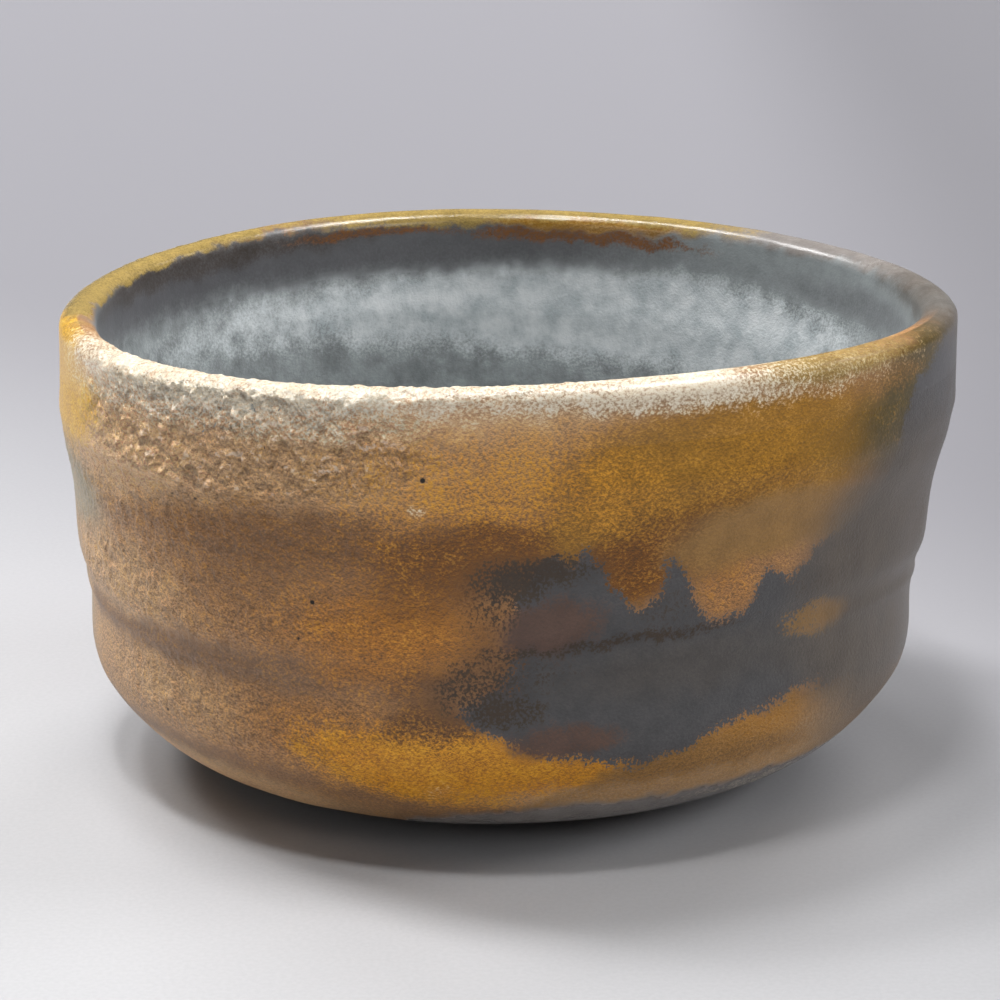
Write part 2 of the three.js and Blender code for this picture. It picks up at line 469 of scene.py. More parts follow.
FLANK_STROKES: tuple[Patch | Band, ...] = (
    Patch(Tone.SAND, -64, 28, 24, 17, 0.5, 0.6),
    Patch(Tone.MIST, -92, 26, 16, 26, 0.6, 0.6),
    Patch(Tone.SAND, -60, 35, 14, 5, 0.3, 0.6),
    Patch(Tone.SAND, -44, 19, 14, 5, 0.25, 0.6),
    Patch(Tone.SAND, -30, 57, 36, 8, 0.65, 0.6),
    Patch(Tone.SAND, -58, 53.5, 17, 6.5, 1.0, 0.6),
    Patch(Tone.SAND, -34, 61.5, 46, 2.8, 0.7),
    Patch(Tone.SAND, -56, 60, 14, 5, 0.6, 0.7),
    Patch(Tone.MAUVE, -32, 55.5, 22, 4.5, 0.2, 0.7),
    Patch(Tone.MIST, -75, 43.5, 12, 5.5, 0.75),
    Patch(Tone.UMBER, -28, 45.5, 24, 4.5, 0.55, 0.6),
    Patch(Tone.UMBER, -30, 39, 20, 3, 0.25, 0.6),
    Band(
        Tone.MAUVE,
        ((-75, 26), (-45, 25), (-28, 24.5), (-14, 25), (-4, 27)),
        ((-75, 28.5), (-45, 30.5), (-28, 30.5), (-14, 28.5), (-4, 27)),
        0.8,
        1.6,
    ),
    Patch(Tone.PLUM, -44, 29.6, 7, 1.2, 0.3, 0.6),
    Band(
        Tone.MAUVE,
        ((-180, -10), (180, -10)),
        (
            (-180, 0), (-75, 15), (-60, 14), (-35, 13.5), (-22, 12), (-10, 9), (10, 11), (30, 12),
            (60, 11), (180, 0),
        ),
        0.7,
        1.6,
    ),
    # A paler band low on the front left: painted light, as from the bright floor beside it.
    Patch(Tone.SAND, -54, 5.5, 30, 4.5, 0.85, 0.6),
    Patch(Tone.GINGER, -12, 33.5, 14, 6, 0.9, 0.9),
    Patch(Tone.GINGER, -24, 19.5, 12, 4.5, 0.4),
    Patch(Tone.GINGER, -15, 27.5, 9, 2, 0.35),
    Patch(Tone.UMBER, -9, 26, 5, 3, 0.5, 0.6),
    Patch(Tone.GOLD, -2, 53, 16, 8, 0.55, 0.8),
    Patch(Tone.BARK, -1, 43.5, 14, 4.8, 0.85, 0.5),
    Patch(Tone.BARK, -10, 38.5, 7, 4, 0.55, 0.6),
    Patch(Tone.BARK, -22, 44, 10, 3.5, 0.25, 0.6),
    Band(
        Tone.GOLD,
        ((-30, 17), (-22, 13), (-16, 10.5), (-8, 9.4), (4, 9.8), (10, 11), (16, 12.5), (26, 15.5)),
        ((-30, 17), (-24, 20), (-17, 21), (-10, 22.5), (-2, 21), (4, 19), (13, 16.5), (26, 15.5)),
        1.0,
        2.6,
        4.0,
    ),
    Patch(Tone.UMBER, -9, 21.5, 6, 2.8, 0.8, 0.7),
)

SHOULDER_STROKES: tuple[Patch | Band, ...] = (
    Patch(Tone.AMBER, 31, 53, 25, 9.5, 1.0, 0.35),
    Patch(Tone.AMBER, 13, 44, 8, 8, 1.0, 0.5),
    Patch(Tone.BARK, 14, 39.5, 6, 4.5, 0.9, 0.6),
    Patch(Tone.BARK, 21, 42, 9, 6, 0.75, 0.8),
    Patch(Tone.BARK, 31, 50, 9, 4, 0.3, 0.7),
    Patch(Tone.GOLD, 12, 51, 7, 6, 0.35, 0.6),
    Patch(Tone.OLIVE, 44, 54, 8, 6, 0.4, 0.7),
    Patch(Tone.OLIVE, 59, 55, 12, 9, 1.0, 0.5),
    Patch(Tone.OLIVE, 17, 57, 6, 5, 0.15),
    Patch(Tone.OLIVE, 70, 60.5, 15, 5.5, 1.0),
    Patch(Tone.OCHRE, 52, 61, 9, 2, 0.5, 0.6),
    Patch(Tone.HONEY, -75, 57.5, 13, 7.5, 1.0, 0.4),
    Patch(Tone.HONEY, -98, 58, 25, 9, 0.9),
    Patch(Tone.GOLD, -74, 58, 7, 5, 0.2, 0.6),
    Band(
        Tone.OCHRE,
        ((0, 8), (20, 9), (30, 9), (45, 9), (60, 9), (78, 11)),
        ((0, 8), (8, 12), (20, 17), (30, 18.5), (42, 20.5), (62, 19), (78, 13)),
        0.95,
        1.6,
    ),
    Patch(Tone.SAND, 26, 10.5, 26, 2.4, 0.45, 0.6),
    Patch(Tone.SAND, 52, 15, 9, 4, 0.4, 0.7),
    Patch(Tone.GOLD, 36, 17.5, 11, 2, 0.3, 0.6),
    Patch(Tone.BUFF, 38, 43.5, 17, 5, 0.95, 0.4),
    Patch(Tone.BUFF, 27, 40, 8, 3.5, 0.7),
    Patch(Tone.GINGER, 28.5, 34, 4.5, 4, 0.3, 0.6),
)

DARK_STROKES: tuple[Patch | Band, ...] = (
    Band(Tone.SLATE, DARK_FLOW_FOOT, DARK_FLOW_TOP, soft=2.0, spread=1.0),
    Patch(Tone.SMOKE, 60, 32, 20, 22, 0.9, 0.4),
    Patch(Tone.INK, -5, 25.5, 5, 4, 0.5, 0.8),
    Patch(Tone.UMBER, -1, 30, 4, 5, 0.4, 0.8),
    Patch(Tone.SMOKE, 24, 26, 18, 3.5, 0.45, 0.7),
    Patch(Tone.SMOKE, 110, 30, 40, 40, 0.8, 0.4),
    Patch(Tone.PLUM, 6, 33, 6.5, 4, 0.85, 0.6),
    Patch(Tone.INK, 5, 40.5, 7, 2.6, 0.7, 0.9),
    Patch(Tone.INK, -1, 37, 5, 6, 0.5, 0.9),
    Patch(Tone.INK, 3, 27, 8, 3, 0.35, 0.8),
    # A dark line along the finger groove across the flow: painted shade in the groove.
    Patch(Tone.INK, 16, 30, 18, 0.9, 0.6, 0.7),
    Patch(Tone.INK, 20, 33.5, 6, 3, 0.35, 0.7),
    Patch(Tone.INK, 74, 45, 10, 20, 0.35, 0.6),
    Patch(Tone.INK, 42, 32.8, 6, 2, 0.3),
    Patch(Tone.INK, 49, 38, 5, 3, 0.2),
    Patch(Tone.INK, 1.5, 22.6, 5, 2.2, 0.5),
    Patch(Tone.PLUM, 8, 19, 8, 2, 0.75),
    Patch(Tone.BUFF, 44, 28.2, 6, 2, 0.5),
    Band(
        Tone.STEEL,
        ((-180, -10), (180, -10)),
        (
            (-180, 0), (-17, 0), (-15, 5.5), (-8, 6.8), (2, 8.4), (12, 9.2), (24, 9.2), (40, 9),
            (60, 9), (110, 9), (140, 0),
        ),
        soft=1.2,
    ),
    Patch(Tone.CREAM, 40, 7, 14, 1.4, 0.35, 0.6),
    Patch(Tone.CREAM, -8.5, 11.9, 2.6, 1.5, 0.3, 0.7),
    # A small cream dot on the ledge's edge: a painted highlight.
    Patch(Tone.CREAM, -10, 50.3, 1.3, 0.8, 0.4, 0.6),
)

BACK_STROKES: tuple[Patch | Band, ...] = (
    Patch(Tone.AMBER, 190, 54, 62, 18, 1.0),
    Patch(Tone.OLIVE, 160, 52, 22, 12, 0.7),
    Patch(Tone.GINGER, 200, 30, 40, 14, 0.7),
    Patch(Tone.UMBER, 215, 12, 70, 12, 0.6),
    Patch(Tone.BARK, 178, 36, 16, 9, 0.6),
)

LIP_STROKES: tuple[Patch | Band, ...] = (
    Patch(Tone.CREAM, -40, 60.8, 34, 3.2, 0.5, 0.7),
    Patch(Tone.CREAM, -40, 65.2, 34, 3.4, 0.65, 0.5, Face.BOTH),
    Patch(Tone.CREAM, 8, 64.6, 24, 3, 0.55, 0.7, Face.BOTH),
    Patch(Tone.CREAM, 34, 63.4, 24, 2.9, 0.5, 0.7, Face.BOTH),
    Patch(Tone.STRAW, 44, 64.5, 14, 2.6, 0.5, 0.6, Face.BOTH),
)

INSIDE_STROKES: tuple[Patch | Band, ...] = (
    Band(Tone.ASH, ((-180, -5), (180, -5)), ((-180, 64.2), (180, 64.2)), 1.0, 0.8, 0, Face.INSIDE),
    Patch(Tone.ASH, 112, 66, 36, 4, 1.0, 0.3, Face.BOTH),
    Patch(Tone.STEEL, 132, 66, 40, 2.4, 0.85, 0.4, Face.BOTH),
    Patch(Tone.SMOKE, 88, 64.5, 22, 3.6, 0.7, 0.6, Face.BOTH),
    Patch(Tone.CLOUD, 160, 51, 44, 6, 1.0, 0.5, Face.INSIDE),
    Patch(Tone.CLOUD, 190, 50, 50, 6, 0.75, 0.6, Face.INSIDE),
    Patch(Tone.DUSK, 196, 60.5, 42, 4.6, 0.85, 0.6, Face.INSIDE),
    Patch(Tone.DUSK, -112, 61, 34, 4.6, 0.95, 0.7, Face.INSIDE),
    Patch(Tone.DUSK, -128, 54, 22, 4, 0.2, 0.8, Face.INSIDE),
    Patch(Tone.DUSK, 112, 58.5, 24, 2.6, 0.5, 0.7, Face.INSIDE),
    Patch(Tone.INK, -125, 62.5, 34, 2, 0.5, 0.6, Face.INSIDE),
    Patch(Tone.DUSK, 100, 50, 16, 5, 0.5, 0.7, Face.INSIDE),
    Patch(Tone.RUST, 168, 61.8, 20, 1.3, 0.7, 0.5, Face.INSIDE),
    Patch(Tone.RUST, 202, 62.8, 14, 1.0, 0.6, 0.5, Face.INSIDE),
    Patch(Tone.STRAW, 178, 65.6, 36, 2.6, 1.0, 0.4, Face.BOTH),
    Patch(Tone.AMBER, 168, 63.6, 14, 1.0, 0.6, 0.5, Face.INSIDE),
    Patch(Tone.STRAW, -112, 66, 34, 2.2, 1.0, 0.3, Face.BOTH),
)


@dataclass(frozen=True)
class GlazePainting:
    """Lays the glaze tones on the wall, stroke over stroke."""

    strokes: tuple[Patch | Band, ...] = (
        *FLANK_STROKES,
        *SHOULDER_STROKES,
        *BACK_STROKES,
        *DARK_STROKES,
        *INSIDE_STROKES,
        *LIP_STROKES,
    )
    wander: float = 0.9
    shiver: float = 0.5
    radius_mm: float = 62.0

    def wandered(self, canvas: Canvas, points: np.ndarray) -> Canvas:
        """Lets the edges of all strokes wander, as flowing glaze does.

        Args:
            canvas: The places on the wall.
            points: The same places in space.

        Returns:
            The canvas with bearings and heights moved a little.
        """
        degrees_per_mm = 360 / (2 * math.pi * self.radius_mm)
        wide = self.wander * mottle(points, 5 * MM, seed=1)
        wide += self.shiver * mottle(points, 1.3 * MM, seed=2)
        tall = self.wander * mottle(points, 4 * MM, seed=3)
        tall += self.shiver * mottle(points, 1.3 * MM, seed=4)
        return Canvas(
            round_the_bowl(canvas.bearing + wide * degrees_per_mm),
            canvas.height + tall,
            canvas.inside,
        )

    def layers(self, canvas: Canvas, points: np.ndarray) -> dict[str, np.ndarray]:
        """Works out how far each tone covers the tones under it.

        Args:
            canvas: The places on the wall.
            points: The same places in space.

        Returns:
            By name, the cover of each tone above the first, and the roughness and speckle.
        """
        moved = self.wandered(canvas, points)
        weights = {tone: np.zeros_like(canvas.bearing) for tone in Tone}
        ground, *upper = Tone
        weights[ground][:] = 1
        for stroke in self.strokes:
            cover = stroke.cover(moved)
            for weight in weights.values():
                weight *= 1 - cover
            weights[stroke.tone] += cover
        below = weights[ground].copy()
        layers = {}
        for tone in upper:
            below += weights[tone]
            layers[tone.layer] = weights[tone] / np.maximum(below, 1e-6)
        for quality in ("roughness", "speckle"):
            layers[quality] = sum(
                weight * getattr(tone.value, quality) for tone, weight in weights.items()
            )
        return layers


@dataclass(frozen=True)
class Relief:
    """The small ups and downs of the fired surface, all cut inwards from the wall line."""

    crust_depth: float = 0.85 * MM
    grain_depth: float = 0.16 * MM
    sag_depth: float = 0.2 * MM
    ledge_depth: float = 0.45 * MM
    ledge_height_mm: float = 50.6
    knob_size: float = 1.7 * MM
    clump_size: float = 4.2 * MM
    stir: float = 0.35 * MM
    stir_size: float = 0.9 * MM
    grain_size: float = 0.8 * MM
    sag_size: float = 13 * MM

    def crust(self, canvas: Canvas) -> np.ndarray:
        """How crusty each place is: most on the shoulder at the front left."""
        patches = (
            Patch(Tone.SAND, -36, 57.5, 27, 7.5, 1.0, 0.35),
            Patch(Tone.SAND, -32, 65, 40, 3.4, 0.35, 0.4, Face.BOTH),
            Patch(Tone.SAND, -40, 46, 34, 7, 0.5, 0.6),
            Patch(Tone.SAND, -42, 36, 34, 7, 0.5, 0.6),
            Patch(Tone.SAND, -36, 21, 26, 7, 0.45, 0.6),
            Patch(Tone.SAND, -120, 55, 30, 9, 0.5),
        )
        return np.maximum.reduce([patch.cover(canvas) for patch in patches])

    def knobs(self, points: np.ndarray) -> np.ndarray:
        """The height of the crust's knobs, from 0 in the creases to 1 on the tops."""
        small = mottle(points, self.stir_size, 3, 5.0)
        stirred = points + self.stir * small[:, None]
        knobs, clumps = pebbles(stirred, self.knob_size), pebbles(stirred, self.clump_size, 4.0)
        return np.clip(0.75 * knobs + 0.2 * clumps + 0.3 * small, 0, 1)

    def depth(self, canvas: Canvas, points: np.ndarray, knobs: np.ndarray) -> np.ndarray:
        """How far each place lies under the wall line.

        Args:
            canvas: The places on the wall.
            points: The same places in space.
            knobs: The height of the crust's knobs there.

        Returns:
            Depths, 0 or more.
        """
        crust = self.crust(canvas)
        small = mottle(points, self.grain_size, 3, 5.0)
        sag = 0.5 + 0.5 * mottle(points, self.sag_size, 2, 6.0)
        ledge_height = self.ledge_height_mm + 0.4 * np.sin(np.radians(canvas.bearing) * 5)
        below = smooth_step(ledge_height - canvas.height, -0.2, 0.4)
        fading = 1 - smooth_step(ledge_height - canvas.height, 1.5, 8)
        around = smooth_step(canvas.bearing, -75, -55) * (1 - smooth_step(canvas.bearing, -25, -12))
        ledge = below * fading * around * canvas.covered_by(Face.OUTSIDE)
        return (
            self.crust_depth * crust * (1 - knobs)
            + self.grain_depth * (0.2 + crust) * np.clip(0.5 + 0.5 * small, 0, 1)
            + self.sag_depth * np.clip(sag, 0, 1)
            + self.ledge_depth * ledge
        )


def turned(name: str, outline: np.ndarray, columns: int) -> bpy.types.Object:
    """Draws a half section by extruding a point along it, and turns it round the wheel's axis.

    Args:
        name: Name of the new piece.
        outline: The section's radii and heights, one row each, in order.
        columns: How many columns of faces go round.

    Returns:
        The turned piece, closed, with a row number on each vertex.
    """
    bpy.ops.object.select_all(action="DESELECT")
    bpy.ops.mesh.primitive_plane_add(size=MM)
    piece = bpy.context.object
    piece.name = piece.data.name = name
    bpy.ops.object.mode_set(mode="EDIT")
    bpy.ops.mesh.select_all(action="SELECT")
    bpy.ops.mesh.merge(type="CENTER")
    bpy.ops.transform.translate(value=(0, -outline[0][0], outline[0][1]))
    for (radius, height), (next_radius, next_height) in zip(outline, outline[1:]):
        step = (0, radius - next_radius, next_height - height)
        bpy.ops.mesh.extrude_region_move(TRANSFORM_OT_translate={"value": step})
    bpy.ops.mesh.select_all(action="SELECT")
    bpy.ops.mesh.remove_doubles(threshold=WELD)
    bpy.ops.object.mode_set(mode="OBJECT")
    places = positions(piece)
    gaps = np.hypot(
        -places[:, 1, None] - outline[None, :, 0], places[:, 2, None] - outline[None, :, 1]
    )
    rows = piece.data.attributes.new("row", "FLOAT", "POINT")
    rows.data.foreach_set("value", gaps.argmin(axis=1).astype(np.float32))
    screw = piece.modifiers.new("turn", "SCREW")
    screw.steps = screw.render_steps = columns
    screw.use_merge_vertices = True
    screw.merge_threshold = WELD
    bpy.ops.object.modifier_apply(modifier=screw.name)
    bpy.ops.object.mode_set(mode="EDIT")
    bpy.ops.mesh.select_all(action="SELECT")
    bpy.ops.mesh.remove_doubles(threshold=WELD)
    bpy.ops.mesh.normals_make_consistent(inside=False)
    bpy.ops.mesh.select_all(action="DESELECT")
    bpy.ops.object.mode_set(mode="OBJECT")
    return piece


def positions(piece: bpy.types.Object) -> np.ndarray:
    """The places of a piece's vertices, one row each."""
    flat = np.empty(len(piece.data.vertices) * 3, np.float32)
    piece.data.vertices.foreach_get("co", flat)
    return flat.reshape(-1, 3).astype(float)


def row_numbers(piece: bpy.types.Object) -> np.ndarray:
    """The section row that each vertex of a turned piece comes from."""
    values = np.empty(len(piece.data.vertices), np.float32)
    piece.data.attributes["row"].data.foreach_get("value", values)
    return np.rint(values).astype(int)


def bearings(piece: bpy.types.Object) -> np.ndarray:
    """The bearing of each vertex of a turned piece, in radians."""
    places = positions(piece)
    return np.arctan2(places[:, 0], -places[:, 1])


def in_space(radius: np.ndarray, height: np.ndarray, bearing: np.ndarray) -> np.ndarray:
    """Points on a turned shape, from radii, heights and bearings in radians."""
    return np.stack([radius * np.sin(bearing), -radius * np.cos(bearing), height], axis=1)


def move_vertices(piece: bpy.types.Object, places: np.ndarray) -> None:
    """Moves all vertices of a piece to new places."""
    piece.data.vertices.foreach_set("co", places.astype(np.float32).ravel())
    piece.data.update()


def store(piece: bpy.types.Object, name: str, values: np.ndarray) -> None:
    """Keeps one number for each vertex of a piece, for its material to read."""
    layer = piece.data.attributes.new(name, "FLOAT", "POINT")
    layer.data.foreach_set("value", values.astype(np.float32))


@dataclass
class GlazeCoat:
    """One coat of glaze over the clay, over one stretch of the wall line.

    The stretch is a list of (distance along the wall line, row spacing from there on).
    """

    name: str
    node: str
    slot: str
    wall: ThrownWall
    stretch: tuple[tuple[float, float], ...]
    ends: float
    columns: int = 850
    crowding: float = 0.3
    under_rows: int = 4
    thickness: float = 1.05 * MM
    end_waves: tuple[Wave, ...] = ()
    wavy_reach: float = 6 * MM
    roll_width: float = 1.6 * MM
    roll_depth: float = 0.6
    painting: GlazePainting = field(default_factory=GlazePainting)
    relief: Relief = field(default_factory=Relief)

    @property
    def begins(self) -> float:
        """Where the coat begins, as a distance along the wall line."""
        return self.stretch[0][0]

    def skin_runs(self) -> np.ndarray:
        """The distances of the skin's rows along the wall line."""
        stops = [start for start, _ in self.stretch[1:]] + [self.ends]
        parts = [
            np.linspace(start, stop, max(2, round((stop - start) / spacing)), endpoint=False)
            for (start, spacing), stop in zip(self.stretch, stops)
        ]
        return np.concatenate([*parts, [self.ends]])

    def build(self, material: bpy.types.Material) -> bpy.types.Object:
        """Builds the coat and dresses it.

        Args:
            material: The coat's finish.

        Returns:
            The finished piece.
        """
        skin = self.wall.rows(self.skin_runs())
        count = len(skin.run) - 1
        under = self.wall.rows(np.linspace(self.ends, self.begins, self.under_rows + 1))
        back = np.stack([under.radius, under.height], axis=1) - under.out * self.thickness
        back[:, 0] = np.maximum(back[:, 0], 0)
        outline = np.vstack([np.stack([skin.radius, skin.height], axis=1), back])
        if skin.radius[-1] < MM:
            middle = count + 1
            section = np.vstack([outline[middle:], outline[:middle]])
        else:
            middle, section = 0, np.vstack([outline, outline[:1]])
        piece = turned(self.name, section, self.columns)
        rows = (row_numbers(piece) + middle) % len(outline)
        turn = bearings(piece)
        bearing = turn - self.crowding * np.sin(turn)
        on_skin = rows <= count
        row = np.minimum(rows, count)
        radius, height = outline[rows, 0].copy(), outline[rows, 1].copy()
        run = np.where(on_skin, skin.run[row], 0)
        if self.end_waves:
            radius, height = self.with_wavy_end(radius, height, run, bearing, on_skin)
        places = in_space(radius, height, bearing)
        inside = np.where(on_skin, skin.inside[row], under.inside[0])
        canvas = Canvas(np.degrees(bearing), height / MM, inside)
        knobs = self.relief.knobs(places)
        depth = np.where(on_skin, self.relief.depth(canvas, places, knobs), 0)
        radius -= depth * skin.out[row, 0]
        height -= depth * skin.out[row, 1]
        move_vertices(piece, self.wall.hand_thrown(radius, height, bearing))
        for layer, values in self.painting.layers(canvas, places).items():
            store(piece, layer, values)
        store(piece, "crust", self.relief.crust(canvas))
        bpy.ops.object.shade_smooth_by_angle(angle=math.radians(60))
        piece.data.materials.append(material)
        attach(piece, BODY)
        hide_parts(self.node)
        return piece

    def with_wavy_end(
        self,
        radius: np.ndarray,
        height: np.ndarray,
        run: np.ndarray,
        bearing: np.ndarray,
        on_skin: np.ndarray,
    ) -> tuple[np.ndarray, np.ndarray]:
        """Lets the coat's lower edge run up and down, thinned to a rolled edge.

        Args:
            radius: Radii of the turned vertices.
            height: Heights of the turned vertices.
            run: Distances of the skin's vertices along the wall line.
            bearing: Bearings of the vertices, in radians.
            on_skin: Which vertices lie on the outer skin.

        Returns:
            The new radii and heights.
        """
        edge = 1 - smooth_step(run, self.begins, self.begins + self.wavy_reach)
        shifted = self.wall.rows(run + swell(self.end_waves, bearing) * edge)
        roll = np.clip(1 - (run - self.begins) / self.roll_width, 0, 1)
        set_back = self.roll_depth * self.thickness * (1 - np.sqrt(1 - roll**2))
        near = on_skin & (edge > 0)
        new_radius = np.where(near, shifted.radius - set_back * shifted.out[:, 0], radius)
        new_height = np.where(near, shifted.height - set_back * shifted.out[:, 1], height)
        return new_radius, new_height


@dataclass
class ClayBody:
    """The thrown stoneware body, bare from the foot to the edge of the outer glaze."""

    wall: ThrownWall
    foot_ring_width: float = 6.5 * MM
    nub_height: float = 0.9 * MM
    nub_diameter: float = 16 * MM
    bare_length: float = 34 * MM
    row_spacing: float = 0.9 * MM
    rough_rows: int = 22
    roughness: float = 0.12 * MM
    columns: int = 360

    def build(self, material: bpy.types.Material) -> bpy.types.Object:
        """Builds the body and dresses it.

        Args:
            material: The bare clay's finish.

        Returns:
            The finished piece.
        """
        wall = self.wall
        nub = self.nub_diameter / 2
        edge = wall.foot_diameter / 2 - self.foot_ring_width
        hub = np.linspace(0, nub, 8)
        dome = wall.foot_height - self.nub_height * (1 - smooth_step(hub, 0, nub))
        flat = np.linspace(nub, edge, 10)[1:]
        underside = np.vstack(
            [
                np.stack([hub, dome], axis=1),
                np.stack([flat, np.full_like(flat, wall.foot_height)], axis=1),
            ]
        )
        length = wall.line().run[-1]
        bare = np.arange(0, self.bare_length, self.row_spacing)
        rows = wall.rows(np.concatenate([bare, np.linspace(self.bare_length, length, 50)]))
        skin = np.stack([rows.radius, rows.height], axis=1) - rows.out * wall.coat_setback
        skin[-1, 0] = 0
        outline = np.vstack([underside, skin])
        piece = turned("clay_thrown_body", outline, self.columns)
        row, bearing = row_numbers(piece), bearings(piece)
        radius, height = outline[row, 0].copy(), outline[row, 1].copy()
        places = in_space(radius, height, bearing)
        rough = (row >= len(underside)) & (row < len(underside) + self.rough_rows)
        height += np.where(rough, self.roughness * (1 + mottle(places, 3 * MM, 3, 7.0)), 0)
        move_vertices(piece, wall.hand_thrown(radius, height, bearing))
        bpy.ops.object.shade_smooth_by_angle(angle=math.radians(50))
        piece.data.materials.append(material)
        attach(piece, BODY)
        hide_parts("clay_body")
        return piece


@dataclass
class FootRing:
    """The low ring that the bowl stands on."""

    wall: ThrownWall
    width: float = 6.5 * MM
    bevel: float = 0.8 * MM
    seat_gap: float = 0.3 * MM
    wear: float = 0.12 * MM
    columns: int = 240

    def build(self, material: bpy.types.Material) -> bpy.types.Object:
        """Builds the ring and dresses it.

        Args:
            material: The bare clay's finish.

        Returns:
            The finished piece.
        """
        outer = self.wall.foot_diameter / 2
        inner = outer - self.width
        top = self.wall.foot_height - self.seat_gap
        quarter = np.linspace(0, math.pi / 2, 6)
        outer_edge = [
            (outer - self.bevel * (1 - math.sin(turn)), self.bevel * (1 - math.cos(turn)))
            for turn in quarter
        ]
        inner_edge = [
            (inner + self.bevel / 2 * (1 - math.cos(turn)), self.bevel / 2 * (1 - math.sin(turn)))
            for turn in quarter
        ]
        side = [(outer, height) for height in np.linspace(self.bevel, top, 5)[1:]]
        lid = [(radius, top) for radius in np.linspace(outer, inner, 6)[1:]]
        back = [(inner, height) for height in np.linspace(top, self.bevel / 2, 5)[1:-1]]
        sole = np.linspace(inner + self.bevel / 2, outer - self.bevel, 8)[1:-1]
        rest = [(radius, 0.0) for radius in sole]
        outline = np.array(inner_edge + rest + outer_edge + side + lid + back)
        piece = turned("foot_thrown_ring", np.vstack([outline, outline[:1]]), self.columns)
        row, bearing = row_numbers(piece) % len(outline), bearings(piece)
        radius, height = outline[row, 0].copy(), outline[row, 1].copy()
        places = in_space(radius, height, bearing)
        worn = mottle(places, 2.5 * MM, 3, 8.0)
        on_side = (height > self.bevel) & (radius > outer - MM)
        radius -= np.where(on_side, self.wear * (1 + worn), 0)
        move_vertices(piece, self.wall.hand_thrown(radius, height, bearing))
        bpy.ops.object.shade_smooth_by_angle(angle=math.radians(50))
        piece.data.materials.append(material)
        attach(piece, BODY)
        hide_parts("foot_ring")
        return piece


def linear(colour: str) -> tuple[float, float, float, float]:
    """A hex colour as Blender's linear values, with alpha 1."""
    channels = [int(colour[start : start + 2], 16) / 255 for start in (1, 3, 5)]
    return (*[c / 12.92 if c <= 0.04045 else ((c + 0.055) / 1.055) ** 2.4 for c in channels], 1.0)


class NodeSheet:
    """A material's node tree, with short ways to add the nodes that the finishes use."""

    def __init__(self, name: str) -> None:
        """Starts an empty material with a principled shader.

        Args:
            name: Name of the material.
        """
        self.material = bpy.data.materials.new(name)
        self.material.use_nodes = True
        self.tree = self.material.node_tree
        self.tree.nodes.clear()
        output = self.tree.nodes.new("ShaderNodeOutputMaterial")
        self.shader = self.tree.nodes.new("ShaderNodeBsdfPrincipled")
        self.tree.links.new(self.shader.outputs["BSDF"], output.inputs["Surface"])
        self.place = self.tree.nodes.new("ShaderNodeTexCoord").outputs["Object"]

    def plug(self, socket: bpy.types.NodeSocket, value: object) -> None:
        """Links a socket to another node's output, or sets its own value."""
        if isinstance(value, bpy.types.NodeSocket):
            self.tree.links.new(value, socket)
        else:
            socket.default_value = value

    def math(self, operation: str, *values: object) -> bpy.types.NodeSocket:
        """Adds a math node and returns its output."""
        node = self.tree.nodes.new("ShaderNodeMath")
        node.operation = operation
        for socket, value in zip(node.inputs, values):
            self.plug(socket, value)
        return node.outputs[0]

    def noise(
        self, size: float, detail: float = 3.0, roughness: float = 0.6, lift: float = 0.0
    ) -> bpy.types.NodeSocket:
        """Adds a noise texture.

        Args:
            size: Width of its features, in metres.
            detail: How many finer layers are added.
            roughness: How strong the finer layers are.
            lift: How far above each place the noise is read, in metres.

        Returns:
            The noise's value.
        """
        above = self.tree.nodes.new("ShaderNodeVectorMath")
        self.plug(above.inputs[0], self.place)
        above.inputs[1].default_value = (0.0, 0.0, lift)
        node = self.tree.nodes.new("ShaderNodeTexNoise")
        self.plug(node.inputs["Vector"], above.outputs["Vector"])
        node.inputs["Scale"].default_value = 1 / size
        node.inputs["Detail"].default_value = detail
        node.inputs["Roughness"].default_value = roughness
        return node.outputs["Fac"]

    def cells(self, size: float) -> bpy.types.NodeSocket:
        """Adds a cell texture with cells of a size in metres, and returns its distance."""
        node = self.tree.nodes.new("ShaderNodeTexVoronoi")
        self.plug(node.inputs["Vector"], self.place)
        node.inputs["Scale"].default_value = 1 / size
        return node.outputs["Distance"]

    def stored(self, name: str) -> bpy.types.NodeSocket:
        """Reads a number that the mesh keeps for each vertex."""
        node = self.tree.nodes.new("ShaderNodeAttribute")
        node.attribute_name = name
        return node.outputs["Fac"]

    def ranged(
        self,
        value: object,
        low: float,
        high: float,
        to_low: float = 0.0,
        to_high: float = 1.0,
    ) -> bpy.types.NodeSocket:
        """Maps a value from one range to another, smoothly and clamped.

        Args:
            value: The value or socket to map.
            low: Where the first range begins.
            high: Where the first range ends.
            to_low: What low becomes.
            to_high: What high becomes.

        Returns:
            The mapped value's socket.
        """
        node = self.tree.nodes.new("ShaderNodeMapRange")
        node.interpolation_type = "SMOOTHSTEP"
        for socket, given in zip(node.inputs, (value, low, high, to_low, to_high)):
            self.plug(socket, given)
        return node.outputs[0]

    def mixed(
        self, share: object, under: object, over: object, blend: str = "MIX"
    ) -> bpy.types.NodeSocket:
        """Mixes two colours.

        Args:
            share: How much of the second colour shows.
            under: The first colour.
            over: The second colour.
            blend: Blender's name of the way to mix.

        Returns:
            The mixed colour's socket.
        """
        node = self.tree.nodes.new("ShaderNodeMix")
        node.data_type = "RGBA"
        node.blend_type = blend
        self.plug(node.inputs["Factor"], share)
        self.plug(node.inputs["A"], under)
        self.plug(node.inputs["B"], over)
        return node.outputs["Result"]

    def bump(self, height: object, strength: object, distance: float) -> None:
        """Raises the surface by a height pattern, on top of any bump that it has."""
        node = self.tree.nodes.new("ShaderNodeBump")
        node.inputs["Distance"].default_value = distance
        self.plug(node.inputs["Height"], height)
        self.plug(node.inputs["Strength"], strength)
        for link in list(self.shader.inputs["Normal"].links):
            self.plug(node.inputs["Normal"], link.from_socket)
        self.tree.links.new(node.outputs["Normal"], self.shader.inputs["Normal"])


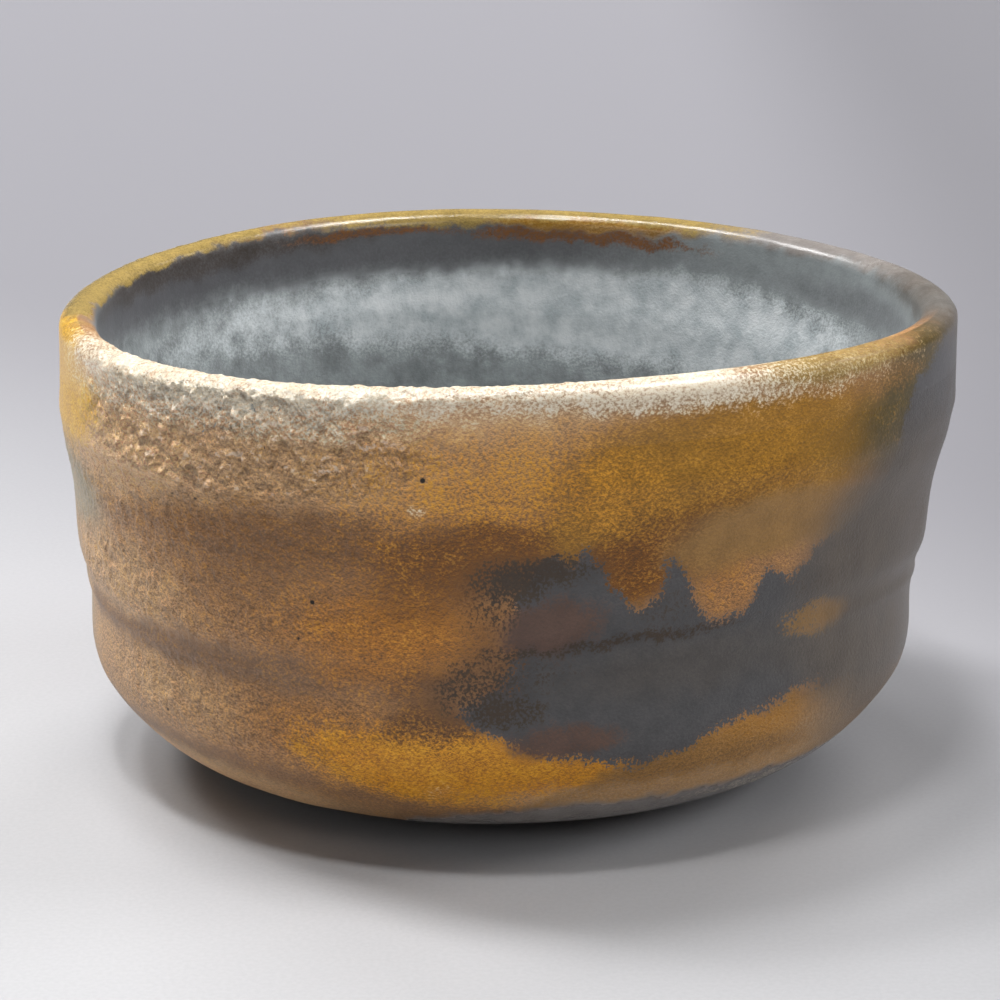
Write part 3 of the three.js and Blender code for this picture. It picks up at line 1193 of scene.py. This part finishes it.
@dataclass(frozen=True)
class GlazeFinish:
    """A fired ash glaze: tones with grainy borders, specks, a lumpy crust and a fine peel.

    Where the mesh has crust, the lumps carry painted light and shade: lighter where they face up
    and darker where they face down.
    Pale ash lies on their upward tops and also stands in for painted highlights there, painted
    shade darkens the creases, and pinholes are near-black dots, painted shade in holes that the
    mesh lacks. The specks are partly painted shade as well, lighter where the fine peel faces up.
    """

    name: str
    tones: tuple[Tone, ...]
    speck_size: float = 0.42 * MM
    speck_lift: float = 0.08 * MM
    border_speck: float = 0.7
    cloud_size: float = 3.6 * MM
    cloudiness: float = 0.18
    cloud_roughness: float = 0.12
    lump_size: float = 2.4 * MM
    lump_lift: float = 0.35 * MM
    lump_height: float = 2.4 * MM
    lump_shading: float = 0.85
    peel_height: float = 0.22 * MM
    peel_strength: float = 0.5
    # The ash colour also stands for painted highlights on the lumps' tops, the crease colour is
    # painted shade, and the pit colour is painted shade in pinholes.
    ash_and_glint_colour: str = "#E8DFD4"
    ash_and_glint_cover: float = 0.45
    crease_shade_colour: str = "#5A4230"
    crease_shade_cover: float = 0.3
    pit_shade_colour: str = "#1C120B"
    pit_spacing: float = 6.5 * MM
    polish: float = 0.06
    crust_polish: float = 0.1
    sheen: float = 0.38

    def build(self) -> bpy.types.Material:
        """Builds the finish.

        Returns:
            The material.
        """
        sheet = NodeSheet(self.name)
        crust = sheet.stored("crust")
        speck = sheet.noise(self.speck_size, 3.0, 0.65)
        speck_above = sheet.noise(self.speck_size, 3.0, 0.65, self.speck_lift)
        lumps = sheet.noise(self.lump_size, 4.0, 0.55)
        lumps_above = sheet.noise(self.lump_size, 4.0, 0.55, self.lump_lift)
        cloud = sheet.noise(self.cloud_size, 5.0, 0.62)
        colour = self.painted(sheet, speck, cloud)
        # The specks are partly painted shade: the noise minus its value a little higher up makes
        # them lighter where the fine peel faces up.
        specks_and_peel_shade = sheet.ranged(sheet.math("MULTIPLY_ADD", speck_above, -0.6, speck), 0.04, 0.36)
        colour = sheet.mixed(sheet.stored("speckle"), colour, specks_and_peel_shade, "OVERLAY")
        # Painted light and shade on the crust: each lump is lighter where it faces up and darker
        # where it faces down, as though lit from above.
        up_facing_light = sheet.ranged(sheet.math("SUBTRACT", lumps, lumps_above), -0.13, 0.13)
        painted_lump_shade = sheet.math("MULTIPLY_ADD", up_facing_light, 1.1, 0.45)
        shading = sheet.math("MULTIPLY", crust, self.lump_shading)
        colour = sheet.mixed(shading, colour, painted_lump_shade, "MULTIPLY")
        patches = sheet.ranged(cloud, 0.28, 0.72, 0.15, 0.85)
        colour = sheet.mixed(self.cloudiness, colour, patches, "OVERLAY")
        colour = self.crusted(sheet, colour, crust, lumps, up_facing_light)
        sheet.plug(sheet.shader.inputs["Base Color"], colour)
        rough = sheet.stored("roughness")
        rough = sheet.math("MULTIPLY_ADD", cloud, self.cloud_roughness, rough)
        shine = sheet.math("MULTIPLY_ADD", crust, self.crust_polish, self.polish)
        sheet.plug(sheet.shader.inputs["Roughness"], sheet.math("SUBTRACT", rough, shine))
        sheet.shader.inputs["Specular IOR Level"].default_value = self.sheen
        raised = sheet.math("MULTIPLY", lumps, sheet.ranged(crust, 0.05, 0.8))
        sheet.bump(raised, 1.0, self.lump_height)
        sheet.bump(speck, self.peel_strength, self.peel_height)
        return sheet.material

    def painted(
        self, sheet: NodeSheet, speck: bpy.types.NodeSocket, cloud: bpy.types.NodeSocket
    ) -> bpy.types.NodeSocket:
        """Lays the tones over each other, with grainy borders.

        Args:
            sheet: The material's nodes.
            speck: The noise of the specks.
            cloud: The noise of the clouds.

        Returns:
            The colour.
        """
        grain = sheet.ranged(speck, 0.35, 0.65)
        grain = sheet.math("MULTIPLY_ADD", grain, self.border_speck, -0.5)
        grain = sheet.math(
            "MULTIPLY_ADD", sheet.ranged(cloud, 0.25, 0.75), 1 - self.border_speck, grain
        )
        ground, *upper = Tone
        colour: object = linear(ground.value.colour)
        for tone in (tone for tone in upper if tone in self.tones):
            look = tone.value
            fuzzy = sheet.math("MULTIPLY_ADD", grain, look.grain, sheet.stored(tone.layer))
            share = sheet.ranged(fuzzy, 0.5 - look.edge, 0.5 + look.edge)
            colour = sheet.mixed(share, colour, linear(look.colour))
        return colour

    def crusted(
        self,
        sheet: NodeSheet,
        colour: bpy.types.NodeSocket,
        crust: bpy.types.NodeSocket,
        lumps: bpy.types.NodeSocket,
        up_facing_light: bpy.types.NodeSocket,
    ) -> bpy.types.NodeSocket:
        """Lays pale ash with painted highlights on the lumps, painted shade in the creases, and
        near-black pinholes painted as shade.

        Args:
            sheet: The material's nodes.
            colour: The colour so far.
            crust: How crusty each place is.
            lumps: The noise of the lumps.
            up_facing_light: How much each place faces up.

        Returns:
            The colour.
        """
        # Pale ash on the upward faces of the lumps' tops, which also stands in for painted
        # highlights there.
        tops = sheet.math("MULTIPLY", up_facing_light, sheet.ranged(lumps, 0.35, 0.65))
        ash = sheet.math("MULTIPLY", sheet.ranged(tops, 0.55, 0.85), sheet.ranged(crust, 0.5, 1))
        ash = sheet.math("MULTIPLY", ash, self.ash_and_glint_cover)
        colour = sheet.mixed(ash, colour, linear(self.ash_and_glint_colour))
        # Painted shade: dark brown in the creases between the lumps.
        creases = sheet.ranged(lumps, 0.42, 0.28, 0.0, self.crease_shade_cover)
        creases = sheet.math("MULTIPLY", creases, crust)
        colour = sheet.mixed(creases, colour, linear(self.crease_shade_colour))
        # Near-black pinholes: painted shade in holes that the mesh doesn't have.
        pits = sheet.ranged(sheet.cells(self.pit_spacing), 0.06, 0.04)
        pits = sheet.math("MULTIPLY", pits, sheet.ranged(crust, 0.1, 0.3))
        return sheet.mixed(pits, colour, linear(self.pit_shade_colour))


@dataclass(frozen=True)
class BareClayFinish:
    """Bare fired stoneware: brown, gritty and matt, with small stones in it."""

    name: str = "bare_stoneware"
    light_clay: str = "#6E5A49"
    dark_clay: str = "#4C3D33"
    grit_colour: str = "#9C8468"
    stone_colour: str = "#B8A88C"
    cloud_size: float = 9 * MM
    grit_size: float = 0.7 * MM
    stone_spacing: float = 2.2 * MM
    relief_height: float = 0.15 * MM

    def build(self) -> bpy.types.Material:
        """Builds the finish.

        Returns:
            The material.
        """
        sheet = NodeSheet(self.name)
        cloud = sheet.noise(self.cloud_size, 4.0, 0.6)
        grit = sheet.noise(self.grit_size, 4.0, 0.7)
        dark = sheet.ranged(cloud, 0.35, 0.65)
        colour = sheet.mixed(dark, linear(self.light_clay), linear(self.dark_clay))
        gritty = sheet.ranged(grit, 0.55, 0.7, 0.0, 0.6)
        colour = sheet.mixed(gritty, colour, linear(self.grit_colour))
        stones = sheet.ranged(sheet.cells(self.stone_spacing), 0.16, 0.1)
        stony = sheet.math("MULTIPLY", stones, 0.7)
        colour = sheet.mixed(stony, colour, linear(self.stone_colour))
        sheet.plug(sheet.shader.inputs["Base Color"], colour)
        sheet.plug(sheet.shader.inputs["Roughness"], sheet.ranged(grit, 0.3, 0.7, 0.7, 0.95))
        sheet.bump(sheet.math("ADD", grit, stones), 0.6, self.relief_height)
        return sheet.material


@dataclass(frozen=True)
class Lamp:
    """A soft box: the bearing and elevation that it shines from, its size and its power.

    A lamp without gloss lights things but doesn't show as a highlight on them, and one without
    fill shows only as a highlight.
    """

    name: str
    bearing: float
    elevation: float
    size: float
    power: float
    distance: float = 2.6
    glossy: bool = True
    fill: bool = True

    def build(self) -> None:
        """Hangs the lamp and turns it to the bowl."""
        data = bpy.data.lights.new(self.name, "AREA")
        data.shape = "SQUARE"
        data.size = self.size
        data.energy = self.power
        bearing, elevation = math.radians(self.bearing), math.radians(self.elevation)
        aim = Vector(
            (
                math.sin(bearing) * math.cos(elevation),
                -math.cos(bearing) * math.cos(elevation),
                math.sin(elevation),
            )
        )
        lamp = bpy.data.objects.new(self.name, data)
        lamp.location = aim * self.distance
        lamp.visible_glossy, lamp.visible_diffuse = self.glossy, self.fill
        lamp.rotation_euler = (-aim).to_track_quat("-Z", "Y").to_euler()
        bpy.context.scene.collection.objects.link(lamp)


@dataclass(frozen=True)
class Studio:
    """The pale floor, the soft lamps and the camera."""

    lamps: tuple[Lamp, ...] = (
        Lamp("top_lamp", 225, 80, 0.4, 22.0),
        Lamp("left_high_lamp", 239, 65, 0.4, 23.0),
        Lamp("left_back_lamp", 237, 44, 0.6, 27.0),
        Lamp("back_lamp", 205, 32, 1.0, 36.0, glossy=False),
        Lamp("back_low_lamp", 155, 25, 1.2, 54.0, glossy=False),
        Lamp("right_low_lamp", 95, 24, 1.0, 42.0, glossy=False),
        Lamp("right_high_lamp", 106, 69, 0.7, 42.0, fill=False),
        Lamp("right_back_lamp", 123, 37, 0.2, 2.4),
        Lamp("front_high_lamp", -22, 75, 0.34, 23.0),
        Lamp("front_left_lamp", -35, 22, 0.8, 5.5),
        Lamp("front_right_lamp", 38, 30, 0.8, 7.0),
    )
    sky: str = "#FFFFFF"
    sky_strength: float = 0.1
    floor_colour: str = "#B2B2B4"
    # The shade colours darken the floor towards the back right and near the right: painted shade.
    floor_shade: str = "#7A797E"
    floor_right_shade: str = "#1A191C"
    floor_dust: str = "#77757A"
    fade_direction: tuple[float, float, float] = (1.0, 1.2, 0.0)
    fade_reach: tuple[float, float] = (-0.18, 0.26)
    right_shade_reach: tuple[float, float] = (0.05, 0.13)
    right_shade_share: float = 0.3
    dust_size: float = 0.7 * MM
    floor_size: float = 8.0
    camera_place: tuple[float, float, float] = (-0.000446, -0.46762, 0.17219)
    camera_pitch: float = 0.2854
    camera_yaw: float = -0.0014
    camera_roll: float = -0.0074
    lens_mm: float = 123.65
    sensor_mm: float = 36.0

    def build(self) -> None:
        """Builds the studio and sets the scene's camera."""
        self.build_floor()
        for lamp in self.lamps:
            lamp.build()
        self.build_sky()
        self.build_camera()

    def build_floor(self) -> None:
        """Lays the pale floor under the bowl, with painted shade that darkens it towards the back
        right and again towards the right.
        """
        bpy.ops.object.select_all(action="DESELECT")
        bpy.ops.mesh.primitive_plane_add(size=self.floor_size)
        floor = bpy.context.object
        floor.name = "studio_floor"
        sheet = NodeSheet("pale_floor")
        across = sheet.tree.nodes.new("ShaderNodeVectorMath")
        across.operation = "DOT_PRODUCT"
        sheet.plug(across.inputs[0], sheet.place)
        across.inputs[1].default_value = self.fade_direction
        # Painted shade: the floor darkens towards the back right, and again towards the right.
        fade = sheet.ranged(across.outputs["Value"], *self.fade_reach)
        colour = sheet.mixed(fade, linear(self.floor_colour), linear(self.floor_shade))
        split = sheet.tree.nodes.new("ShaderNodeSeparateXYZ")
        sheet.plug(split.inputs[0], sheet.place)
        right_shade = sheet.ranged(split.outputs["X"], *self.right_shade_reach, 0.0, self.right_shade_share)
        colour = sheet.mixed(right_shade, colour, linear(self.floor_right_shade))
        dusty = sheet.ranged(sheet.noise(self.dust_size, 3.0, 0.6), 0.3, 0.7, 0.0, 0.1)
        colour = sheet.mixed(dusty, colour, linear(self.floor_dust))
        sheet.plug(sheet.shader.inputs["Base Color"], colour)
        sheet.shader.inputs["Roughness"].default_value = 0.6
        floor.data.materials.append(sheet.material)

    def build_sky(self) -> None:
        """Sets the plain light from all round."""
        world = bpy.data.worlds.new("studio_sky")
        world.use_nodes = True
        background = world.node_tree.nodes["Background"]
        background.inputs["Color"].default_value = linear(self.sky)
        background.inputs["Strength"].default_value = self.sky_strength
        bpy.context.scene.world = world

    def build_camera(self) -> None:
        """Stands the camera where the bowl is seen from in front and a little above."""
        yaw, pitch = self.camera_yaw, self.camera_pitch
        ahead = Vector(
            (math.sin(yaw) * math.cos(pitch), math.cos(yaw) * math.cos(pitch), -math.sin(pitch))
        )
        level = ahead.cross(Vector((0, 0, 1))).normalized()
        upright = level.cross(ahead)
        turn, lift = math.cos(self.camera_roll), math.sin(self.camera_roll)
        right = turn * level + lift * upright
        above = turn * upright - lift * level
        data = bpy.data.cameras.new("camera")
        data.lens = self.lens_mm
        data.sensor_width = self.sensor_mm
        data.clip_start, data.clip_end = 0.01, 50.0
        camera = bpy.data.objects.new("camera", data)
        camera.matrix_world = Matrix.Translation(self.camera_place) @ Matrix(
            (right, above, -ahead)
        ).transposed().to_4x4()
        bpy.context.scene.collection.objects.link(camera)
        bpy.context.scene.camera = camera


@dataclass
class TeaBowl:
    """The whole bowl: the clay, its foot and its three coats of glaze."""

    wall: ThrownWall = field(default_factory=ThrownWall)
    outer_glaze_end: float = 17 * MM
    lip_glaze_outside: float = 5.5 * MM
    lip_glaze_inside: float = 7 * MM
    end_waves: tuple[Wave, ...] = (Wave(3, 0.75 * MM, 0.4), Wave(7, 0.35 * MM, 0.22))

    def build(self) -> list[bpy.types.Object]:
        """Builds every piece of the bowl.

        Returns:
            The pieces, from the clay outwards.
        """
        line = self.wall.line()
        lip_begins = line.run[self.wall.samples - 1]
        lip_ends = line.run[self.wall.samples - 1 + self.wall.samples // 4 - 1]
        lower, upper = lip_begins - self.lip_glaze_outside, lip_ends + self.lip_glaze_inside
        shoulder = self.wall.outside_run(49.5 * MM)
        clay = BareClayFinish().build()
        outside = GlazeFinish("runny_ash_glaze", OUTSIDE_TONES)
        lip = GlazeFinish("pooled_amber_glaze", tuple(Tone), sheen=0.5, peel_height=0.07 * MM)
        inside = GlazeFinish("clouded_grey_glaze", INSIDE_TONES, cloudiness=0.45, sheen=0.45)
        return [
            ClayBody(self.wall).build(clay),
            FootRing(self.wall).build(clay),
            GlazeCoat(
                "glaze_outside",
                "outer_glaze",
                "ash_glaze",
                self.wall,
                ((self.outer_glaze_end, 0.62 * MM), (shoulder, 0.4 * MM)),
                lower,
                end_waves=self.end_waves,
            ).build(outside.build()),
            GlazeCoat(
                "glaze_over_lip",
                "lip_glaze",
                "amber_glaze",
                self.wall,
                ((lower, 0.38 * MM),),
                upper,
            ).build(lip.build()),
            GlazeCoat(
                "glaze_inside",
                "inner_glaze",
                "grey_glaze",
                self.wall,
                ((upper, MM),),
                line.run[-1],
                columns=620,
                crowding=0.0,
                under_rows=36,
            ).build(inside.build()),
        ]


def main() -> None:
    """Builds the bowl and the studio round it."""
    logging.basicConfig(level=logging.INFO, format="%(name)s: %(message)s")
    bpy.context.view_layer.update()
    for piece in TeaBowl().build():
        LOG.info("%s: %d faces", piece.name, len(piece.data.polygons))
    Studio().build()
    bpy.context.scene.view_settings.view_transform = "Standard"


if __name__ == "__main__":
    main()
